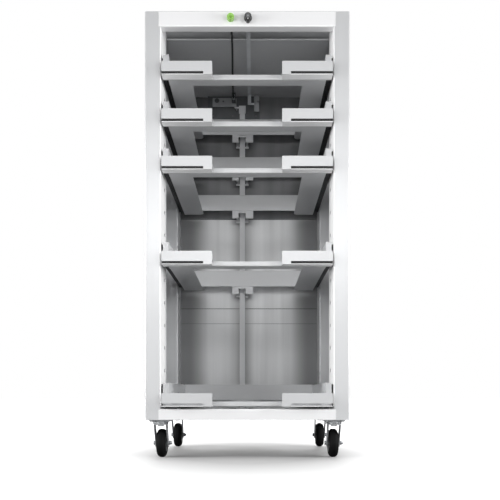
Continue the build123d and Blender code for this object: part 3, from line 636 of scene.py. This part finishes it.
# The cable clamp on the plate and the sleeve behind the button: dark moulded nylon, with one screw
# that pinches the cable's end.
clamp_plastic = moulded("clamp_plastic", rgb(70, 71, 72), rgb(92, 93, 94), 300.0,
                        (500.0, 0.15, 0.45), (700.0, 0.1, 0.0004))
dress(clamp_plastic, *nodes_in("clamp_plastic"))
clamp_low, clamp_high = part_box("cable_clamp")
clamp_x = (clamp_low[0] + clamp_high[0]) / 2
clamp_drop = 0.008
clamp_screw = (clamp_x, clamp_low[1], clamp_high[2] - clamp_drop)
mesh_piece("clamp_screw", *turned(screw_profile, clamp_screw, (0, -1, 0), 16), screw_metal,
           "cabinet", "mechanism_zinc")

# The push button in the top rail opens the lock. It is moulded in leaf-green plastic with a dished
# face for the thumb, and slides in its sleeve.
button_green = Finish("button_green")
tint = button_green.noise(120.0, 3.0)
button_green.coat(
    Base_Color=button_green.mix(tint, rgb(122, 170, 70), rgb(136, 186, 84)),
    Roughness=button_green.noise(350.0) * 0.08 + 0.3,
)
button_green.shader.inputs["Coat Weight"].default_value = 0.2
button_green.bump(button_green.noise(900.0), 0.03, 0.0003)
dress(button_green, *nodes_in("button_green"))

# The release cable runs under the ceiling from the button to the clamp. Its sheath is black
# plastic, and a crimped steel ferrule ends it at the clamp.
cable_sheath = moulded("cable_sheath", rgb(18, 18, 19), rgb(34, 34, 36), 200.0,
                       (400.0, 0.15, 0.4), (800.0, 0.08, 0.0003))
dress(cable_sheath, *nodes_in("cable_sheath"))
cable_radius = 0.00275
cable_axis = (clamp_x, clamp_low[1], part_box("release_cable")[0][2] + cable_radius)
ferrule_profile = [
    (0.0, 0.0028), (0.0, 0.0038), (0.003, 0.0038), (0.004, 0.0034), (0.007, 0.0034),
    (0.008, 0.0038), (0.011, 0.0038), (0.012, 0.0028),
]
mesh_piece("cable_ferrule", *turned(ferrule_profile, cable_axis, (0, -1, 0), 20), lit_lever_zinc,
           "cabinet", "mechanism_zinc")

# The key lock: a black moulded bezel with a drop-shaped knob that turns the rod. The knob's face
# has a paler inlay, the end of the steel key barrel in its middle, and a pale dot on the lobe.
lock_black = moulded("lock_black", rgb(30, 30, 31), rgb(50, 50, 52), 260.0,
                     (500.0, 0.15, 0.35), (1200.0, 0.12, 0.0003))
dress(lock_black, *nodes_in("lock_black"))
inlay_grey = moulded("inlay_grey", rgb(84, 85, 86), rgb(104, 105, 106), 300.0,
                     (500.0, 0.15, 0.35), (900.0, 0.1, 0.0003))
dot_grey = moulded("dot_grey", rgb(188, 189, 190), rgb(204, 205, 206), 300.0,
                   (500.0, 0.1, 0.4), (900.0, 0.05, 0.0002))
housing_low, housing_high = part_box("lock_housing")
knob_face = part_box("lock_knob")[0][1]
lock_x, lock_z = (housing_low[0] + housing_high[0]) / 2, (housing_low[2] + housing_high[2]) / 2
knob_centre = (lock_x, knob_face, lock_z)
inlay_profile = [
    (-0.0002, 0.0026), (0.0001, 0.0026), (0.0001, 0.0056), (0.0, 0.0061), (-0.0002, 0.0061),
    (-0.0002, 0.0026),
]
mesh_piece("knob_inlay", *turned(inlay_profile[::-1], knob_centre, (0, -1, 0), 40), inlay_grey,
           "key_lock", "lock_black")
barrel_profile = [
    (-0.0002, 0.0023), (0.0001, 0.0023), (0.0002, 0.0020), (0.0001, 0.0015), (0.0001, 0.0),
]
mesh_piece("key_barrel", *turned(barrel_profile, knob_centre, (0, -1, 0), 32), screw_metal,
           "key_lock", "mechanism_zinc")
slot_half = (0.0003, 0.0016)
slot_start_y, slot_end_y = knob_face - 0.00015, knob_face - 0.00005
key_mouth = box_outline((lock_x - slot_half[0], lock_z - slot_half[1]),
                        (lock_x + slot_half[0], lock_z + slot_half[1]))
prism_piece("key_slot", [(key_mouth, slot_start_y, slot_end_y)], lock_black, "key_lock",
            1, 0.00003)
dot_profile = [(-0.0002, 0.0014), (0.0001, 0.0014), (0.0002, 0.0010), (0.0002, 0.0)]
dot_drop = 0.0076
dot_place = (lock_x, knob_face, lock_z - dot_drop)
mesh_piece("knob_dot", *turned(dot_profile, dot_place, (0, -1, 0), 24), dot_grey, "key_lock",
           "lock_black")

# The casters: pressed steel plates and forks in bright zinc, each fork turning on a ring of steel
# balls, with a black rubber tyre on a grey moulded hub.
caster_zinc = zinc("caster_zinc", rgb(226, 228, 230), rgb(196, 199, 203), 0.24, 0.85)
dress(caster_zinc, *nodes_in("caster_zinc"), *nodes_in("bolt_zinc"))
wheel_hub = moulded("wheel_hub", rgb(120, 122, 124), rgb(146, 148, 150), 150.0,
                    (400.0, 0.15, 0.42), (900.0, 0.08, 0.0003))
dress(wheel_hub, *nodes_in("wheel_hub"))
tyre_rubber = Finish("tyre_rubber")
dust = tyre_rubber.noise(70.0, 4.0)
tyre_rubber.coat(
    Base_Color=tyre_rubber.mix(dust, rgb(7, 7, 8), rgb(18, 18, 19)),
    Roughness=dust * 0.2 + 0.62,
)
tyre_rubber.shader.inputs["Specular IOR Level"].default_value = 0.15
tyre_rubber.bump(tyre_rubber.noise(600.0) * 0.6 + dust * 0.4, 0.15, 0.0004)
dress(tyre_rubber, *nodes_in("tyre_rubber"))

# Each caster's swivel has a ring of balls between the plate's race and the crown of the fork. Its
# wheel has a moulded thread guard on both sides, ribbed towards the axle and round at the rim.
places = ("front_left", "front_right", "rear_left", "rear_right")
swivel_trail = 0.025
race_radius = 0.0205
ball_radius = 0.0011
ball_drop = 0.0009
ball_turn = np.linspace(0.0, 2.0 * np.pi, 26, endpoint=False)
ball_arc = np.linspace(-0.5 * np.pi, 0.5 * np.pi, 6)
ball_profile = ball_radius * np.stack([np.sin(ball_arc), np.abs(np.cos(ball_arc))], axis=-1)
ball_profile[[0, -1], 1] = 0.0
guard_side = 0.0105
guard_profile = [
    (0.0, 0.0095), (0.0014, 0.0095), (0.0016, 0.0125), (0.0009, 0.0140), (0.0009, 0.0175),
    (0.0016, 0.0190), (0.0016, 0.0225), (0.0011, 0.0240), (0.0, 0.0245), (0.0, 0.0095),
]
guard_grey = moulded("guard_grey", rgb(84, 86, 88), rgb(104, 106, 108), 150.0,
                     (400.0, 0.15, 0.42), (900.0, 0.08, 0.0003))
for place in places:
    race_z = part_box(f"caster_fork_{place}")[1][2] - ball_drop
    hub_low, hub_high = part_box(f"wheel_hub_{place}")
    hub_x, hub_y, hub_z = [(low + high) / 2 for low, high in zip(hub_low, hub_high)]
    swivel_y = hub_y - swivel_trail
    ring = [
        (hub_x + race_radius * np.cos(turn), swivel_y + race_radius * np.sin(turn), race_z)
        for turn in ball_turn
    ]
    mesh_piece(f"swivel_balls_{place}", *turned(ball_profile, ring, (0, 0, 1), 8), screw_metal,
               "cabinet", "caster_zinc")
    guards = [
        turned(guard_profile, (hub_x + side * guard_side, hub_y, hub_z), (side, 0, 0), 32)
        for side in (-1, 1)
    ]
    mesh_piece(f"thread_guards_{place}", *joined(guards), guard_grey, f"wheel_{place}", "wheel_hub")

# The floor of the studio is a wide sheet, dark to the light that bounces and white to the camera.
# It takes the soft shadow under the cabinet, and further out it glows to the camera, painted light
# that fades it into the pale room.
floor_half = 30.0
oval_width = 1.7
shadow_end, white_start = 0.35, 1.2
floor_bounce, floor_seen = (0.1, 0.1, 0.1, 1.0), (0.55, 0.55, 0.55, 1.0)
floor_mesh = bpy.data.meshes.new("studio_floor")
floor_mesh.from_pydata(
    [(-floor_half, -floor_half, 0.0), (floor_half, -floor_half, 0.0),
     (floor_half, floor_half, 0.0), (-floor_half, floor_half, 0.0)], [], [(0, 1, 2, 3)]
)
floor = bpy.data.objects.new("studio_floor", floor_mesh)
bpy.context.scene.collection.objects.link(floor)
floor_paint = Finish("studio_floor")
oval = floor_paint.node(
    "VectorMath", {"operation": "MULTIPLY"}, {0: floor_paint.place, 1: (oval_width, 1.0, 1.0)}
)
spread = floor_paint.node("VectorMath", {"operation": "LENGTH"}, {0: oval}, 1)
# Painted light: the floor glows to the camera, more the further it is from the cabinet.
glow = floor_paint.node(
    "MapRange", {}, {0: spread, 1: shadow_end, 2: white_start, 3: 0.0, 4: 1.0}
)
only_seen = floor_paint.node("LightPath", {}, {})
floor_paint.coat(
    Base_Color=floor_paint.mix(only_seen, floor_bounce, floor_seen),
    Roughness=0.8,
    Emission_Color=floor_paint.mix(glow * only_seen, (0.0, 0.0, 0.0, 1.0), white),
)
floor_paint.shader.inputs["Emission Strength"].default_value = 1.0
floor_mesh.materials.append(floor_paint.material)
